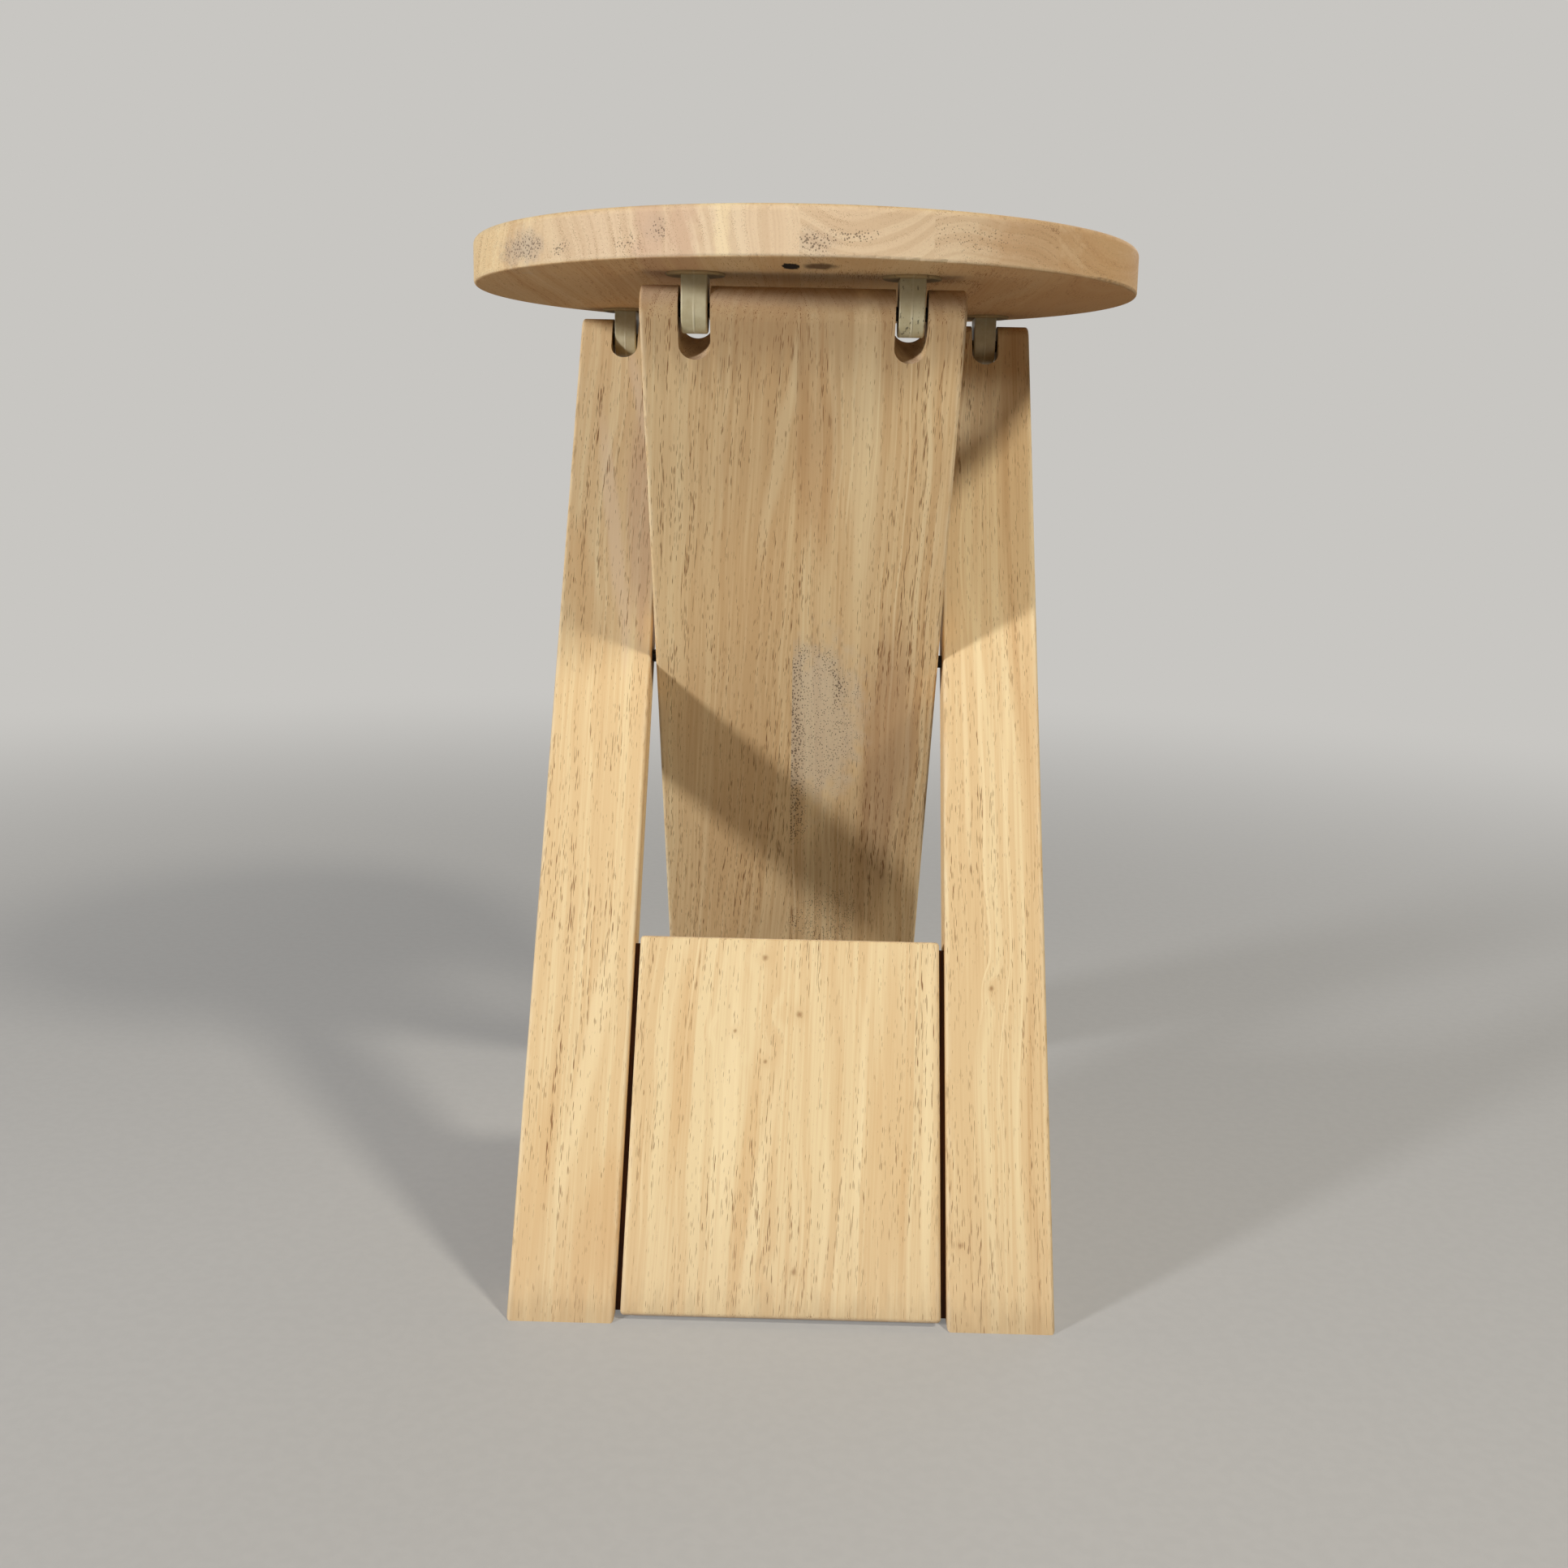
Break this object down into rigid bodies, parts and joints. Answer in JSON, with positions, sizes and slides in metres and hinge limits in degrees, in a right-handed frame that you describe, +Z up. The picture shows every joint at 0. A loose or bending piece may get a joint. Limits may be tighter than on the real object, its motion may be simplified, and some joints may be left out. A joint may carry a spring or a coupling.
{
  "type": "folding stool",
  "caption": "Wooden folding stool: round seat on a two-stile frame and a centre tongue that cross on guide pins and fold flat behind the seat on moulded hinge brackets.",
  "frame": {"origin": "on the floor under the middle of the seat", "axes": "+Z up, -Y towards the front where the panelled frame stands, +X to the right seen from the front"},
  "size_m": [0.306, 0.3292, 0.456],
  "materials": {
    "seat_wood": "pale hardwood, matt clear finish",
    "leg_wood": "pale hardwood with open pores, matt clear finish",
    "spline_wood": "darker hardwood strip",
    "bracket_nylon": "moulded, satin",
    "pin_steel": "blackened steel"
  },
  "bodies": {
    "seat": {"seat_stave_1": "seat_wood", "seat_stave_2": "seat_wood", "seat_stave_3": "seat_wood", "seat_stave_4": "seat_wood", "seat_stave_5": "seat_wood", "seat_stave_6": "seat_wood", "front_left_hinge_bracket": "bracket_nylon", "front_right_hinge_bracket": "bracket_nylon", "rear_left_hinge_bracket": "bracket_nylon", "rear_right_hinge_bracket": "bracket_nylon"},
    "frame": {"left_stile": "leg_wood", "right_stile": "leg_wood", "lower_panel": "leg_wood", "left_panel_spline": "spline_wood", "right_panel_spline": "spline_wood", "left_rear_hinge_pin": "pin_steel", "right_rear_hinge_pin": "pin_steel", "left_guide_pin": "pin_steel", "right_guide_pin": "pin_steel"},
    "tongue": {"tongue_left_stave": "leg_wood", "tongue_right_stave": "leg_wood", "left_front_hinge_pin": "pin_steel", "right_front_hinge_pin": "pin_steel"}
  },
  "joints": [
    {"name": "frame_fold", "type": "hinge", "parent": "seat", "child": "frame", "pos_m": [0, 0.09, 0.421], "axis": [1, 0, 0], "range_deg": [0, 120]},
    {"name": "tongue_fold", "type": "hinge", "parent": "seat", "child": "tongue", "pos_m": [0, -0.09, 0.421], "axis": [1, 0, 0], "range_deg": [0, 60]}
  ],
  "couplings": [
    {"joint": "tongue_fold", "follows": "frame_fold", "ratio": 0.5}
  ]
}
